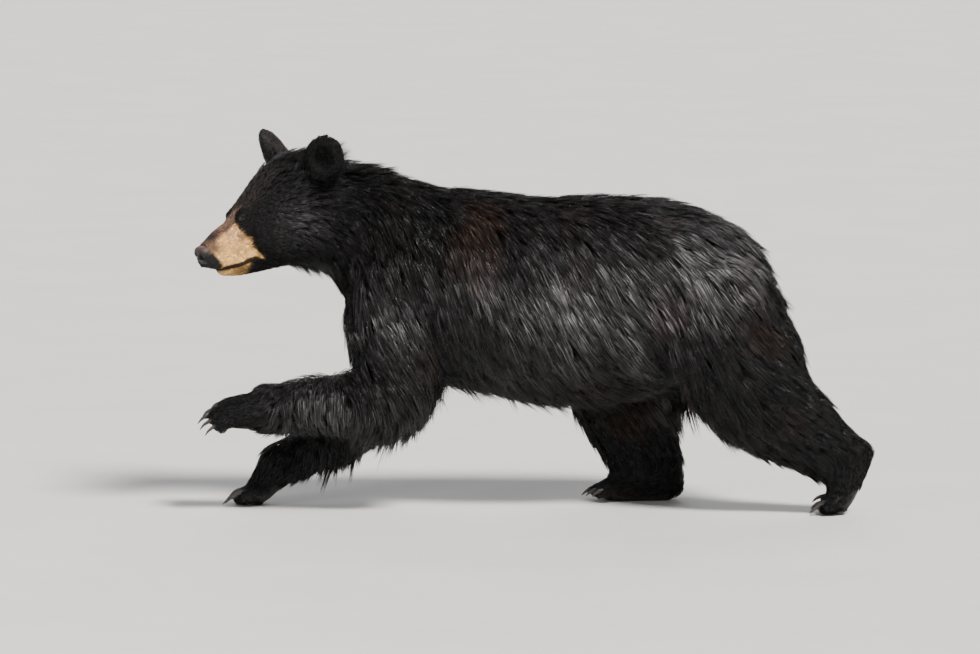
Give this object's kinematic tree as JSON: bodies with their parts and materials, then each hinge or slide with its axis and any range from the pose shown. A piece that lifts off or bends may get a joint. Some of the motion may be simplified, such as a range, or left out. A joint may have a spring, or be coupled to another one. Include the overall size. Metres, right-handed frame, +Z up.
{
  "type": "black bear",
  "caption": "Young American black bear in mid stride, head turned to its left, as a still life-size model.",
  "frame": {"origin": "on the floor, below the middle of the bounding box", "axes": "the bear faces -Y, its left side is +X and +Z is up"},
  "size_m": [0.3276, 1.2504, 0.7015],
  "materials": {
    "coat": "glossy black fur",
    "nose": "moist, pebbled",
    "eye": "wet, clear",
    "claw": "horn, worn at the tip"
  },
  "bodies": {
    "root": {"claw_forepaw_left_1": "claw", "claw_forepaw_left_2": "claw", "claw_forepaw_left_3": "claw", "claw_forepaw_left_4": "claw", "claw_forepaw_left_5": "claw", "claw_forepaw_right_1": "claw", "claw_forepaw_right_2": "claw", "claw_forepaw_right_3": "claw", "claw_forepaw_right_4": "claw", "claw_forepaw_right_5": "claw", "claw_hindpaw_left_1": "claw", "claw_hindpaw_left_2": "claw", "claw_hindpaw_left_3": "claw", "claw_hindpaw_left_4": "claw", "claw_hindpaw_left_5": "claw", "claw_hindpaw_right_1": "claw", "claw_hindpaw_right_2": "claw", "claw_hindpaw_right_3": "claw", "claw_hindpaw_right_4": "claw", "claw_hindpaw_right_5": "claw", "ear_left": "coat", "ear_right": "coat", "eye_left": "eye", "eye_right": "eye", "forearm_left": "coat", "forearm_right": "coat", "forepaw_left": "coat", "forepaw_right": "coat", "head": "coat", "hindpaw_left": "coat", "hindpaw_right": "coat", "neck": "coat", "nose": "nose", "shank_left": "coat", "shank_right": "coat", "tail": "coat", "thigh_left": "coat", "thigh_right": "coat", "trunk": "coat", "upper_arm_left": "coat", "upper_arm_right": "coat"}
  },
  "joints": []
}
